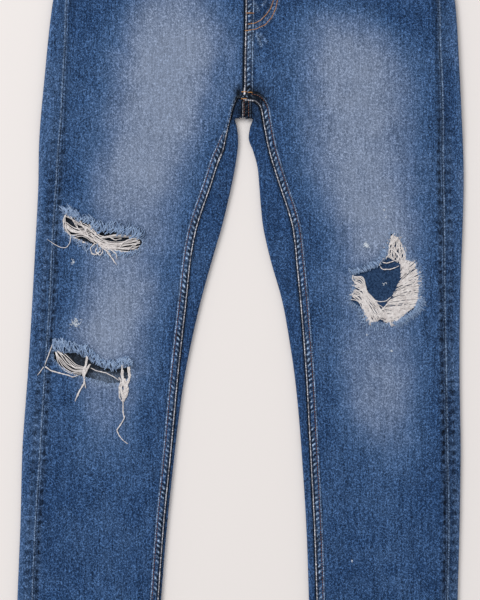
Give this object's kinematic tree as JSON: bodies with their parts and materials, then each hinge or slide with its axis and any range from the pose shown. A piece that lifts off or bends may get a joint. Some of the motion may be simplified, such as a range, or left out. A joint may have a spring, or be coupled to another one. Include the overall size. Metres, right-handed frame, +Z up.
{
  "type": "ripped jeans",
  "caption": "Slim denim trousers laid flat, face up, with lapped fly, scoop and patch pockets, belt loops, and frayed rips at the thigh and knees over a dark patch.",
  "frame": {"origin": "on the surface that the garment lies on, under the middle of its bounding box", "axes": "+Y along the legs towards the waist, +X towards the wearer's left leg, +Z up out of the face"},
  "size_m": [0.5424, 1.065, 0.0156],
  "materials": {
    "denim": "faded indigo twill, matt, mottled, paler on thighs and knees",
    "cream_thread": "bare off-white weft yarn, matt and fuzzy",
    "dark_twill": "unfaded navy twill, matt",
    "brass": "antique, satin"
  },
  "bodies": {
    "root": {"front_right": "denim", "front_left": "denim", "back_right": "denim", "back_left": "denim", "yoke_right": "denim", "yoke_left": "denim", "waistband": "denim", "belt_loop_front_right": "denim", "belt_loop_front_left": "denim", "belt_loop_back_right": "denim", "belt_loop_back_left": "denim", "belt_loop_centre_back": "denim", "pocket_facing_right": "denim", "pocket_facing_left": "denim", "back_pocket_right": "denim", "back_pocket_left": "denim", "thigh_rip_threads": "cream_thread", "right_knee_rip_threads": "cream_thread", "left_knee_rip_threads": "cream_thread", "knee_patch": "dark_twill", "button": "brass"}
  },
  "joints": []
}
